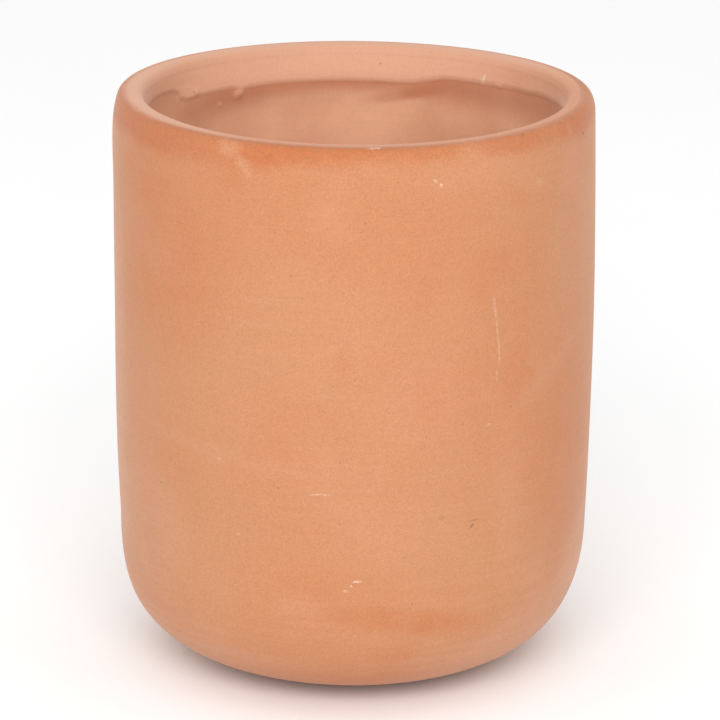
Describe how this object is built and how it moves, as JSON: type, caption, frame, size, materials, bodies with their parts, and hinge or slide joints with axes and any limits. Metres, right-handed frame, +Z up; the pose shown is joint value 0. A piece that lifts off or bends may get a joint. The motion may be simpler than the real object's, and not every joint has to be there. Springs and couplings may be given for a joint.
{
  "type": "plant pot",
  "caption": "Round terracotta plant pot with a rounded base, soft rim and inner band, a lift-out drain plug and rubber foot pads.",
  "frame": {"origin": "on the pot's axis, at the height of the surface that the foot pads stand on", "axes": "+Z up along the pot's axis of symmetry, towards the mouth; X and Y are alike"},
  "size_m": [0.136, 0.136, 0.1648],
  "materials": {
    "terracotta": "unglazed, matt, fine sandy grain",
    "plug_rubber": "satin moulded",
    "pad_rubber": "matt moulded"
  },
  "bodies": {
    "pot": {"pot_body": "terracotta", "foot_pad_1": "pad_rubber", "foot_pad_2": "pad_rubber", "foot_pad_3": "pad_rubber", "foot_pad_4": "pad_rubber"},
    "plug": {"drain_plug": "plug_rubber"}
  },
  "joints": [
    {"name": "plug_pull", "type": "slide", "parent": "pot", "child": "plug", "axis": [0, 0, 1], "range_m": [0, 0.165]}
  ]
}
